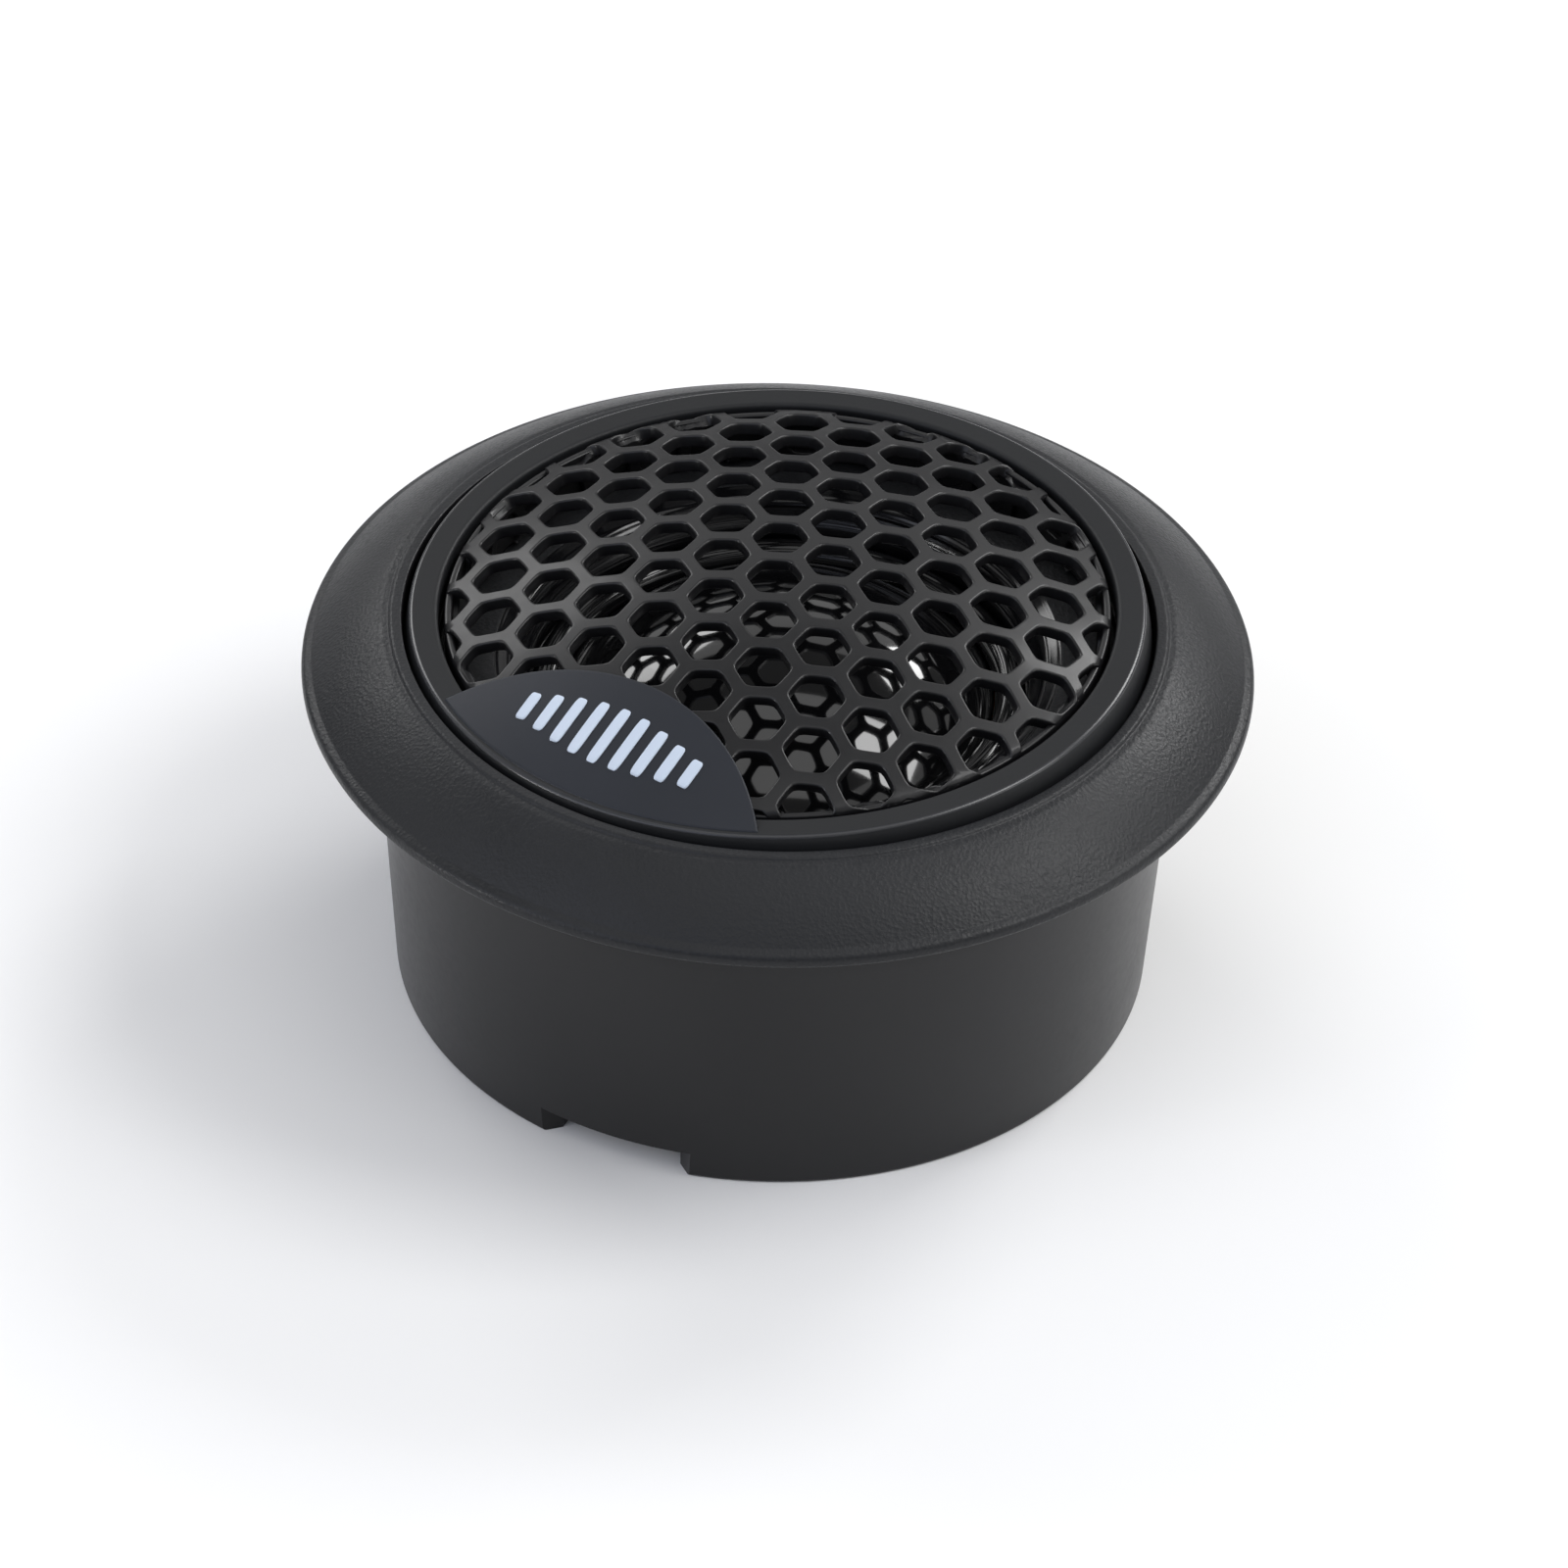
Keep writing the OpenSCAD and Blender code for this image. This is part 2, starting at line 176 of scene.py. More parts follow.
@dataclass(frozen=True)
class Finish:
    """A surface finish: the real material, its two shades, its gloss and its relief."""

    name: str
    colour: str
    shade: str                      # the colour that the slow pattern turns to
    roughness: float
    grain: Grain
    grain_mm: float                 # real size of the fine pattern
    relief_mm: float                # height of the fine pattern
    rough_spread: float = 0.06      # how far the roughness strays from its mean
    patch_mm: float = 9.0           # size of the slow changes of shade
    metallic: float = 0.0
    coat: float = 0.0
    coat_roughness: float = 0.03
    sheen: float = 0.0
    reflect: float = 0.5            # specular level, 0.5 at the material's own IOR

    def fine_pattern(self, tree: bpy.types.NodeTree, point: bpy.types.NodeSocket) -> bpy.types.NodeSocket:
        """Adds the fine pattern's nodes.

        Args:
            tree: the material's node tree.
            point: the object coordinates, in metres.

        Returns:
            The pattern's height, from 0 to 1.
        """
        scale = 1 / (self.grain_mm * MM)
        spot = {"Vector": point, "Scale": scale}
        bands = {"Vector": point, "Scale": WAVE_STEP * scale}
        if self.grain is Grain.SPARK:
            # The noise is finer than the pits, so that no two of them look alike
            pits = add_node(tree, "TexVoronoi", {"feature": "F1"}, spot).outputs["Distance"]
            rough = add_node(tree, "TexNoise", None, spot | {"Scale": scale * 1.7, "Detail": 2.0})
            both = {0: pits, 1: rough.outputs["Fac"]}
            return add_node(tree, "Math", {"operation": "MULTIPLY"}, both).outputs[0]
        if self.grain is Grain.TURNED:
            flat = add_node(tree, "VectorMath", {"operation": "MULTIPLY"}, {0: point, 1: (1, 1, 0)})
            radius = add_node(tree, "VectorMath", {"operation": "LENGTH"}, {0: flat.outputs[0]})
            rings = {"W": radius.outputs["Value"], "Scale": scale, "Detail": 2.0}
            return add_node(tree, "TexNoise", {"noise_dimensions": "1D"}, rings).outputs["Fac"]
        if self.grain is Grain.WOUND:
            turns = {"wave_type": "BANDS", "bands_direction": "Z", "wave_profile": "SIN"}
            return add_node(tree, "TexWave", turns, bands).outputs["Fac"]
        if self.grain is Grain.PORES:
            return add_node(tree, "TexVoronoi", {"feature": "F1"}, spot).outputs["Distance"]
        if self.grain is Grain.FIBRES:
            strands = spot | {"Detail": 5.0, "Distortion": 2.5}
            return add_node(tree, "TexNoise", None, strands).outputs["Fac"]
        if self.grain is Grain.WEAVE:
            threads = [{"wave_type": "BANDS", "bands_direction": way} for way in "XY"]
            warp, weft = (add_node(tree, "TexWave", thread, bands).outputs["Fac"] for thread in threads)
            return add_node(tree, "Math", {"operation": "MULTIPLY"}, {0: warp, 1: weft}).outputs[0]
        cloud = spot | {"Detail": 1.0 if self.grain is Grain.PEEL else 4.0}
        return add_node(tree, "TexNoise", None, cloud).outputs["Fac"]

    def material(self) -> bpy.types.Material:
        """Builds the finish once, and returns the same material from then on."""
        if self.name in bpy.data.materials:
            return bpy.data.materials[self.name]
        made = bpy.data.materials.new(self.name)
        made.use_nodes = True
        tree = made.node_tree
        shader = tree.nodes["Principled BSDF"]
        point = add_node(tree, "TexCoord").outputs["Object"]
        fine = self.fine_pattern(tree, point)
        cloud = {"Vector": point, "Scale": 1 / (self.patch_mm * MM), "Detail": 3.0}
        slow = add_node(tree, "TexNoise", None, cloud)
        mix = {"Factor": slow.outputs["Fac"], 6: linear(self.colour), 7: linear(self.shade)}
        tint = add_node(tree, "Mix", {"data_type": "RGBA"}, mix)
        wear = add_node(tree, "Math", {"operation": "ADD"}, {0: slow.outputs["Fac"], 1: fine})
        spread = {
            "Value": wear.outputs[0],
            "From Min": WEAR_RANGE[0],
            "From Max": WEAR_RANGE[1],
            "To Min": max(self.roughness - self.rough_spread, 0.02),
            "To Max": self.roughness + self.rough_spread,
        }
        gloss = add_node(tree, "MapRange", None, spread)
        relief = {"Height": fine, "Distance": self.relief_mm * MM, "Strength": 1.0}
        bump = add_node(tree, "Bump", None, relief)
        tree.links.new(tint.outputs[2], shader.inputs["Base Color"])
        tree.links.new(gloss.outputs[0], shader.inputs["Roughness"])
        tree.links.new(bump.outputs[0], shader.inputs["Normal"])
        levels = {
            "Metallic": self.metallic, "Coat Weight": self.coat, "Coat Roughness": self.coat_roughness,
            "Sheen Weight": self.sheen, "Specular IOR Level": self.reflect,
        }
        for socket, level in levels.items():
            shader.inputs[socket].default_value = level
        return made


# Charcoal ABS, spark eroded mould: a dry, faintly sparkling skin on the flange
FLANGE_ABS = Finish("charcoal_abs_spark_eroded", "#1c1d1f", "#242528", 0.48, Grain.SPARK, 0.24, 0.035,
                    rough_spread=0.14, reflect=0.28)
# The same ABS from a stoned mould wall: satin, with long soft reflections
WALL_ABS = Finish("charcoal_abs_satin", "#151517", "#1b1b1d", 0.34, Grain.SATIN, 0.5, 0.002, reflect=0.32)
# Black ABS, satin: the ball and the inside of the capsule
SHELL_ABS = Finish("black_abs_moulded", "#1f2022", "#262729", 0.45, Grain.SATIN, 0.5, 0.003)
# Charcoal ABS, fine satin: the bezel's even, slightly soft look
BEZEL_ABS = Finish("charcoal_abs_fine_satin", "#191a1c", "#1e1f21", 0.48, Grain.SATIN, 0.3, 0.004,
                   reflect=0.24)
# The bezel's outer edge: glossier, and painted lighter as a thin highlight line
BEZEL_PAINTED_HIGHLIGHT = Finish("charcoal_abs_painted_highlight", "#2a2b2e", "#303134", 0.24, Grain.SATIN, 0.3, 0.002, reflect=0.5)
# The badge's ABS: a little smoother than the bezel
BADGE_ABS = Finish("charcoal_abs_badge", "#1e2127", "#24272f", 0.46, Grain.SATIN, 0.35, 0.003, reflect=0.3)
# Pad-printed pale ink: flat and slightly chalky
BADGE_INK = Finish("pale_pad_print", "#b7c4d6", "#c6d1e0", 0.5, Grain.SATIN, 0.2, 0.002)
# Steel with black semi-gloss paint: soft tops, wet-looking edges
GRILLE_PAINT = Finish("black_paint_on_steel", "#0f0f11", "#151517", 0.42, Grain.PEEL, 0.6, 0.006,
                      coat=0.18, coat_roughness=0.12, reflect=0.34)
# Textured black plastic ring behind the mesh
FACE_ABS = Finish("black_abs_textured", "#1a1b1d", "#222326", 0.55, Grain.SPARK, 0.3, 0.05, rough_spread=0.12)
# The horn's polished throat: dark, with long streaks of light
HORN_ABS = Finish("black_abs_polished", "#0d0d0f", "#121215", 0.13, Grain.PEEL, 0.8, 0.002, rough_spread=0.03)
# Coated cloth roll: wet black, bright along its crown
SURROUND_COAT = Finish("black_coated_cloth", "#0b0b0c", "#101012", 0.1, Grain.FIBRES, 0.35, 0.0012,
                       rough_spread=0.03)
# Moulded polymer dome with a gloss skin: mirrors the mesh above it
DOME_FILM = Finish("black_polymer_film", "#0a0a0b", "#0e0e10", 0.07, Grain.PEEL, 2.0, 0.004,
                   rough_spread=0.02, coat=0.6)
# Amber polyimide tube
FORMER_FILM = Finish("amber_polyimide", "#b4731f", "#c98a2e", 0.3, Grain.PEEL, 0.6, 0.003)
# Enamelled copper wire, turns side by side (the real 0.1 mm wire is drawn as 0.2 mm)
COIL_WIRE = Finish("enamelled_copper_wire", "#b5652e", "#c87b41", 0.32, Grain.WOUND, 0.2, 0.04, metallic=1.0)
# Moulded carrier under the surround
CARRIER_ABS = Finish("black_pbt_carrier", "#232426", "#2a2b2d", 0.5, Grain.SATIN, 0.4, 0.004)
# Zinc-plated screw steel: cool grey with a fine brushed look
SCREW_STEEL = Finish("zinc_plated_screw", "#a9acb0", "#bfc2c6", 0.32, Grain.TURNED, 0.12, 0.003, metallic=1.0)
# Turned and zinc-plated pole pieces
POLE_STEEL = Finish("zinc_plated_turned_steel", "#9b9ea2", "#b1b4b8", 0.36, Grain.TURNED, 0.18, 0.006,
                    metallic=1.0)
# Nickel-plated neodymium: a warm, soft mirror
MAGNET_NICKEL = Finish("nickel_plate", "#b9b4a8", "#c8c3b8", 0.2, Grain.PEEL, 1.0, 0.003, metallic=1.0)
# Pressed wool felt
FELT = Finish("wool_felt", "#8f8674", "#a39a87", 0.95, Grain.FIBRES, 0.35, 0.12, sheen=0.4)
# Open-cell foam
FOAM = Finish("open_cell_foam", "#2a2a2c", "#38383b", 0.95, Grain.PORES, 0.6, 0.25)
# Green solder mask over woven glass
BOARD = Finish("solder_mask_green", "#14532b", "#1b6435", 0.35, Grain.WEAVE, 0.5, 0.01)
# Tin over brass: pale, slightly yellow
TINNED_BRASS = Finish("tinned_brass", "#c6b98f", "#d3c9a6", 0.28, Grain.SATIN, 0.3, 0.004, metallic=1.0)
# Soft solder: bright and slightly grainy
SOLDER = Finish("soft_solder", "#bcbdc0", "#cfd0d2", 0.24, Grain.PEEL, 0.3, 0.01, metallic=1.0)
# Moulded rubber ring
RUBBER = Finish("moulded_rubber", "#161617", "#1d1d1e", 0.7, Grain.SATIN, 0.25, 0.01)


# ---------------------------------------------------------------- surfaces

@dataclass
class Patch:
    """Part of a mesh: points in millimetres, four-sided faces, closing polygons and finishes."""

    points: np.ndarray
    quads: np.ndarray
    finish: Union[int, np.ndarray] = 0
    polygons: list = field(default_factory=list)


def soften(corners: Sequence[Corner], steps: int = 5) -> np.ndarray:
    """Rounds the corners of a closed outline.

    A corner P with a setback s becomes (1-t)^2 A + 2t(1-t) P + t^2 B for t from 0 to 1, where
    A and B lie s before and after P on its two sides.

    Args:
        corners: radius, height and setback of each corner.
        steps: pieces that each rounded corner is made of.

    Returns:
        The outline's points, without repeats.
    """
    table = np.array(corners, float)
    corner, setback = table[:, :2], table[:, 2:]
    back, ahead = np.roll(corner, 1, axis=0) - corner, np.roll(corner, -1, axis=0) - corner
    start = corner + setback * back / np.linalg.norm(back, axis=1, keepdims=True)
    end = corner + setback * ahead / np.linalg.norm(ahead, axis=1, keepdims=True)
    t = np.linspace(0, 1, steps + 1)[None, :, None]
    curve = (1 - t) ** 2 * start[:, None] + 2 * t * (1 - t) * corner[:, None] + t ** 2 * end[:, None]
    points = curve.reshape(-1, 2)
    apart = np.linalg.norm(points - np.roll(points, 1, axis=0), axis=1) > 1e-5
    return points[apart]


def side_middles(outline: np.ndarray) -> np.ndarray:
    """Middle of each side of a closed outline."""
    return (outline + np.roll(outline, -1, axis=0)) / 2


def support(outline: np.ndarray, guard: float = 0.06, longest: float = 2.0) -> np.ndarray:
    """Adds points to the long sides of a closed outline, so that shading stays flat on flat stretches.

    Each side longer than four guards gets a point one guard from both ends, and what is left
    is divided evenly into pieces no longer than the longest.

    Args:
        outline: the closed outline.
        guard: distance of the extra points from a side's ends.
        longest: length that no piece of a side passes.

    Returns:
        The outline with the extra points.
    """
    made = []
    for a, b in zip(outline, np.roll(outline, -1, axis=0)):
        length = float(np.linalg.norm(b - a))
        if length <= 4 * guard:
            marks = np.array([0.0])
        else:
            count = max(2, math.ceil((length - 2 * guard) / longest) + 1)
            marks = np.concatenate([[0.0], np.linspace(guard, length - guard, count) / length])
        made.append(a + marks[:, None] * (b - a))
    return np.vstack(made)


def grid(points: np.ndarray, wrap_rows: bool = False, wrap_columns: bool = False,
         finish: Union[int, np.ndarray] = 0) -> Patch:
    """Joins a grid of points into four-sided faces.

    Args:
        points: array of rows x columns x 3.
        wrap_rows: whether the last row joins the first.
        wrap_columns: whether the last column joins the first.
        finish: finish number, or one number per row of faces.

    Returns:
        The patch.
    """
    rows, columns = points.shape[:2]
    i = np.arange(rows if wrap_rows else rows - 1)[:, None]
    j = np.arange(columns if wrap_columns else columns - 1)[None, :]
    up, right = (i + 1) % rows, (j + 1) % columns
    corners = [i * columns + j, i * columns + right, up * columns + right, up * columns + j]
    quads = np.stack(np.broadcast_arrays(*corners), axis=-1).reshape(-1, 4)
    if isinstance(finish, np.ndarray):
        finish = np.repeat(finish[:i.shape[0]], j.shape[1])
    return Patch(points.reshape(-1, 3), quads, finish)


def lathe(outline: np.ndarray, columns: int = COLUMNS, span: tuple[float, float] = (0.0, FULL_TURN),
          finish: Union[int, np.ndarray] = 0) -> Patch:
    """Turns a closed outline round +Z.

    A point of the outline at radius r and height h goes to (r cos a, r sin a, h) for each angle a.

    Args:
        outline: radius and height of each point.
        columns: steps round the span.
        span: first and last angle in radians. A part of a turn gets flat ends.
        finish: finish number, or one number per side of the outline.

    Returns:
        The patch.
    """
    whole = span[1] - span[0] > FULL_TURN - 1e-6
    angle = np.linspace(span[0], span[1], columns + 1)[:columns + (0 if whole else 1)]
    radius, height = outline[:, :1], outline[:, 1:]
    across = [radius * np.cos(angle), radius * np.sin(angle), height + 0 * angle]
    patch = grid(np.stack(across, axis=-1), wrap_rows=True, wrap_columns=whole, finish=finish)
    if not whole:
        ends = np.arange(len(outline)) * len(angle)
        patch.polygons = [ends.tolist(), (ends + len(angle) - 1)[::-1].tolist()]
    return patch


def spun(x: np.ndarray, y: np.ndarray, degrees: float) -> np.ndarray:
    """Points in the plan, turned round the axis: (x cos a - y sin a, x sin a + y cos a)."""
    angle = math.radians(degrees)
    cos, sin = math.cos(angle), math.sin(angle)
    return np.stack([x * cos - y * sin, x * sin + y * cos], -1)


def ball_arc(radius: float, low: float, high: float, count: int) -> list[Corner]:
    """Outline of a ball between two heights over its centre, as corners without a setback."""
    height = np.linspace(low, high, count)
    return [(float(math.sqrt(radius * radius - h * h)), float(h), 0.0) for h in height]


def raised(corners: Iterable[Corner], lift: float) -> list[Corner]:
    """The same corners, higher by a lift."""
    return [(r, h + lift, s) for r, h, s in corners]


# ---------------------------------------------------------------- pieces

@dataclass
class Maker:
    """Turns patches into pieces that ride on one body, in one sub-assembly's axes."""

    axes: Axes
    body: str

    def mesh(self, name: str, patches: Sequence[Patch], finishes: Sequence[Finish]) -> bpy.types.Object:
        """Builds one welded mesh object, with its faces outwards.

        Args:
            name: name of the object.
            patches: its parts.
            finishes: the finishes that the patches count from 0.

        Returns:
            The object, with its place in its mesh.
        """
        start = np.cumsum([0] + [len(patch.points) for patch in patches])
        faces, numbers = [], []
        for patch, first in zip(patches, start):
            faces += (patch.quads + first).tolist()
            faces += [[index + int(first) for index in polygon] for polygon in patch.polygons]
            numbers.append(np.broadcast_to(patch.finish, len(patch.quads)))
            numbers.append(np.zeros(len(patch.polygons), int))
        mesh = bpy.data.meshes.new(name)
        mesh.from_pydata(self.axes.place(np.vstack([p.points for p in patches])).tolist(), [], faces)
        for finish in finishes:
            mesh.materials.append(finish.material())
        mesh.polygons.foreach_set("material_index", np.concatenate(numbers).astype(np.int32))
        cells = bmesh.new()
        cells.from_mesh(mesh)
        bmesh.ops.remove_doubles(cells, verts=cells.verts, dist=WELD)
        bmesh.ops.recalc_face_normals(cells, faces=cells.faces)
        cells.to_mesh(mesh)
        cells.free()
        made = bpy.data.objects.new(name, mesh)
        bpy.context.scene.collection.objects.link(made)
        return made

    def piece(self, name: str, patches: Sequence[Patch], finishes: Sequence[Finish], slot: str,
              stands_for: Sequence[str] = (), cutters: Sequence[bpy.types.Object] = (),
              crease: float = 32.0) -> bpy.types.Object:
        """Builds one finished piece and sets what it rides on.

        Args:
            name: name of the piece.
            patches: its parts.
            finishes: the finishes that the patches count from 0.
            slot: the record's material slot; not used.
            stands_for: CAD nodes that the piece is shown for.
            cutters: closed meshes that are taken out of it.
            crease: angle in degrees past which an edge stays sharp.

        Returns:
            The piece.
        """
        made = self.mesh(name, patches, finishes)
        if cutters:
            carve(made, cutters)
        made.data.shade_smooth()
        made.data.set_sharp_from_angle(angle=math.radians(crease))
        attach(made, self.body)
        if stands_for:
            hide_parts(*stands_for)
        LOG.info("%s: %d faces on %s", name, len(made.data.polygons), self.body)
        return made


def carve(piece: bpy.types.Object, cutters: Sequence[bpy.types.Object]) -> None:
    """Takes closed cutters out of a piece, and removes the cutters.

    Args:
        piece: the object to cut.
        cutters: closed meshes in the same place.
    """
    for cutter in cutters:
        cut = piece.modifiers.new(cutter.name, "BOOLEAN")
        cut.operation, cut.solver, cut.object = "DIFFERENCE", "EXACT", cutter
    shaped = piece.evaluated_get(bpy.context.evaluated_depsgraph_get())
    whole, left = piece.data, bpy.data.meshes.new_from_object(shaped)
    piece.modifiers.clear()
    piece.data = left
    bpy.data.meshes.remove(whole)
    for cutter in cutters:
        bpy.data.meshes.remove(cutter.data)


def dress(node: str, finish: Finish) -> None:
    """Gives a CAD node that stays in view its finish."""
    shown = frame["nodes"][node]
    if not shown.material_slots:
        shown.data.materials.append(finish.material())
    for slot in shown.material_slots:
        slot.material = finish.material()
    LOG.info("%s: %s", node, finish.name)


# ---------------------------------------------------------------- mounting cup

@dataclass
class MountingCup:
    """The cup with its flange, wire notch and screw holes. Heights count from the bottom edge."""

    axes: Axes
    pivot: float                       # height of the ball centre
    spigot_r: float = 23.6             # band that enters the panel
    spigot_len: float = 4.0
    base_r: float = 22.6
    seat_z: float = 20.6               # underside of the flange
    rim_t: float = 0.7
    aim_share: float = 0.63            # level that the camera aims at, as a share of the rim's thickness
    lip_r: float = 22.1
    slope_top_r: float = 23.3
    slope_crown: float = 0.25
    step_h: float = 0.22
    step_w: float = 0.4                # flat step between the slope and the lip
    floor_t: float = 1.4
    floor_r: float = 13.0
    wall_t: float = 1.2
    seat_r: float = 22.3               # spherical seat
    seat_high: float = 3.4             # levels of the seat's parts, counted from the ball centre
    groove_high: float = -7.1
    groove_low: float = -8.8
    shelf_low: float = -10.4
    hollow_high: float = -12.2
    shelf_gap: float = 0.3
    groove_r: float = 22.05
    screw_r: float = 1.7
    screw_x: float = 17.5
    notch_az: float = 246.85
    notch_w: float = 9.74
    notch_h: float = 1.8
    notch_flare: float = 40.0          # degrees that the notch's sides lean in

    def outline(self) -> np.ndarray:
        """The cup's section: floor, wall, flange with its soft slope, lip, ball seat and groove."""
        size = self.axes.extent("mounting_cup")
        rim_z, wall_in = self.seat_z + self.rim_t, self.base_r - self.wall_t
        top = size.high
        start = np.array([size.radius - 0.3, rim_z])
        end = np.array([self.slope_top_r, top - self.step_h])
        bend = (start + end) / 2 + [0, 2 * self.slope_crown]
        t = np.linspace(0, 1, 16)[1:-1, None]
        slope = (1 - t) ** 2 * start + 2 * t * (1 - t) * bend + t ** 2 * end
        seat = ball_arc(self.seat_r, self.seat_high, self.groove_high, 32)
        shelf = ball_arc(self.seat_r + self.shelf_gap, self.groove_low, self.shelf_low, 6)
        groove = [(self.groove_r, self.groove_high, 0), (self.groove_r, self.groove_low, 0)]
        step_z, step_in = top - self.step_h, self.slope_top_r - self.step_w
        corners = [
            (self.floor_r, 0, 0.15), (self.base_r, 0, 0.25),
            (self.spigot_r, self.seat_z - self.spigot_len, 0.5), (self.spigot_r, self.seat_z, 0.12),
            (size.radius, self.seat_z, 0.28), (size.radius, rim_z, 0.3),
            *[(float(r), float(h), 0.0) for r, h in slope],
            (self.slope_top_r, step_z, 0.12), (step_in, step_z + 0.05, 0.08),
            (step_in - 0.15, top, 0.12), (self.lip_r, top, 0.15),
            *raised([*seat, *groove, *shelf, (wall_in, self.hollow_high, 0.3)], self.pivot),
            (wall_in, self.floor_t, 0.4), (self.floor_r, self.floor_t, 0.15),
        ]
        return support(soften(corners), longest=1.6)

    def notch(self, maker: Maker) -> bpy.types.Object:
        """Cutter for the wire notch: a bar along its direction, whose sides lean in by the flare."""
        depth = self.wall_t + 0.1
        half = self.notch_w / 2
        inner = half - depth * math.tan(math.radians(self.notch_flare))
        # Straight inside the cup, leaning through the wall, and straight again past its outer skin
        along = np.array([self.base_r - 7, self.base_r - depth, self.base_r - 0.35, self.spigot_r + 1])
        side = np.array([inner, inner, half, half])
        left, right = (spun(along, way * side, self.notch_az) for way in (-1, 1))
        ring = np.vstack([left, right[::-1]])
        low = np.column_stack([ring, np.full(len(ring), -1.0)])
        high = np.column_stack([ring, np.full(len(ring), self.notch_h)])
        patch = grid(np.stack([low, high]), wrap_columns=True)
        patch.polygons = [list(range(len(ring)))[::-1], list(range(len(ring), 2 * len(ring)))]
        return maker.mesh("notch_cutter", [patch], [])

    def drill(self, maker: Maker, side: int) -> bpy.types.Object:
        """Cutter for one screw hole: a rod through the cup's floor, on one side or the other."""
        low, high = -1, self.floor_t + 1
        rod = np.array([(0, low), (self.screw_r, low), (self.screw_r, high), (0, high)])
        patch = lathe(rod, columns=64)
        patch.points[:, 0] += side * self.screw_x
        return maker.mesh(f"drill_{side}", [patch], [])

    def build(self) -> None:
        """Makes the cup: the flange's upper side and edge are textured, the rest is satin."""
        maker = Maker(self.axes, "cup")
        outline = self.outline()
        middle = side_middles(outline)
        textured = (middle[:, 1] > self.seat_z + 0.05) & (middle[:, 0] > self.lip_r + 0.05)
        patch = lathe(outline, columns=384, finish=np.where(textured, 1, 0))
        cutters = [self.notch(maker), self.drill(maker, -1), self.drill(maker, 1)]
        maker.piece("cup_shell", [patch], [WALL_ABS, FLANGE_ABS], "cup_plastic", ["mounting_cup"], cutters)


# ---------------------------------------------------------------- capsule housing

@dataclass
class CapsuleHousing:
    """Ball-shaped shell, rear cap, bezel and friction ring. Heights count from the ball centre."""

    axes: Axes
    ball_r: float = 22.17
    shell_top: float = 2.4
    shell_bottom: float = -12.2
    shell_in_r: float = 20.45
    bore_r: float = 19.1               # narrower bore under the face ring
    bore_top: float = -1.5
    cone_top: float = -3.2             # where the bore starts to close in
    cone_r: float = 16.4               # its radius at the bottom
    bezel_in_r: float = 19.85
    bezel_flat_r: float = 21.42        # where the bezel's top turns into its outer bevel
    bezel_low: float = 3.4             # underside of the bezel's inner edge
    bezel_foot: float = 3.0
    bevel_w: float = 0.13
    bevel_h: float = 0.1
    side_drop: float = 0.35            # from the bezel's top to where its side leaves the ball
    ring_high: float = -7.2
    ring_low: float = -8.75
    ring_r: float = 21.95              # outside of the rubber ring
    ring_gap: float = 0.06

    def shell(self, maker: Maker) -> None:
        """Shell: the ball outside, two bores and a cone inside."""
        corners = [
            *ball_arc(self.ball_r, self.shell_bottom, self.shell_top, 40),
            (self.shell_in_r, self.shell_top, 0.1), (self.shell_in_r, self.bore_top, 0.1),
            (self.bore_r, self.bore_top, 0.1), (self.bore_r, self.cone_top, 0.3),
            (self.cone_r, self.shell_bottom, 0.1),
        ]
        patch = lathe(support(soften(corners)))
        maker.piece("ball_shell", [patch], [SHELL_ABS], "shell_plastic", ["capsule_shell"])

    def bezel(self, maker: Maker, badge: "Badge") -> None:
        """Bezel: a flat ring with a soft outer bevel, lowered under the badge to make its seat."""
        top = self.axes.extent("bezel_ring").high
        corners = [
            *ball_arc(self.ball_r, self.shell_top, top - self.side_drop, 10),
            (self.bezel_flat_r + self.bevel_w, top - self.bevel_h, 0.06), (self.bezel_flat_r, top, 0.1),
            (self.bezel_in_r, top, 0.3), (self.bezel_in_r, self.bezel_low, 0.2),
            (self.shell_in_r, self.bezel_foot, 0.1), (self.shell_in_r, self.shell_top, 0.05),
        ]
        outline = support(soften(corners), longest=0.15)
        middle = side_middles(outline)
        # Faces on the outer bevel get the lighter finish: a painted highlight line along the edge
        painted_highlight = (middle[:, 0] > self.bezel_flat_r - 0.08) & (middle[:, 1] > top - 0.16)
        patch = lathe(outline, columns=512, finish=np.where(painted_highlight, 1, 0))
        height = patch.points[:, 2]
        radius = np.hypot(patch.points[:, 0], patch.points[:, 1])
        seat = (badge.border(patch.points[:, :2]) > badge.seat_margin) & (height > self.bezel_low + 0.1)
        lowered = np.minimum(height, badge.underside(radius) - badge.seat_gap)
        patch.points[:, 2] = np.where(seat, lowered, height)
        maker.piece("bezel", [patch], [BEZEL_ABS, BEZEL_PAINTED_HIGHLIGHT], "bezel_plastic", ["bezel_ring"])

    def friction_ring(self) -> None:
        """Rubber ring under the ball, in the cup's groove."""
        corners = [
            *ball_arc(self.ball_r + self.ring_gap, self.ring_low, self.ring_high, 8),
            (self.ring_r, self.ring_high, 0.1), (self.ring_r, self.ring_low, 0.1),
        ]
        maker = Maker(Axes(self.axes.centre, np.eye(3)), "swivel")
        maker.piece("seat_ring", [lathe(soften(corners))], [RUBBER], "ring_rubber", ["friction_ring"])

    def build(self, badge: "Badge") -> None:
        """Makes the housing and dresses the rear cap."""
        maker = Maker(self.axes, "capsule")
        self.shell(maker)
        self.bezel(maker, badge)
        self.friction_ring()
        dress("rear_cap", SHELL_ABS)


# ---------------------------------------------------------------- badge

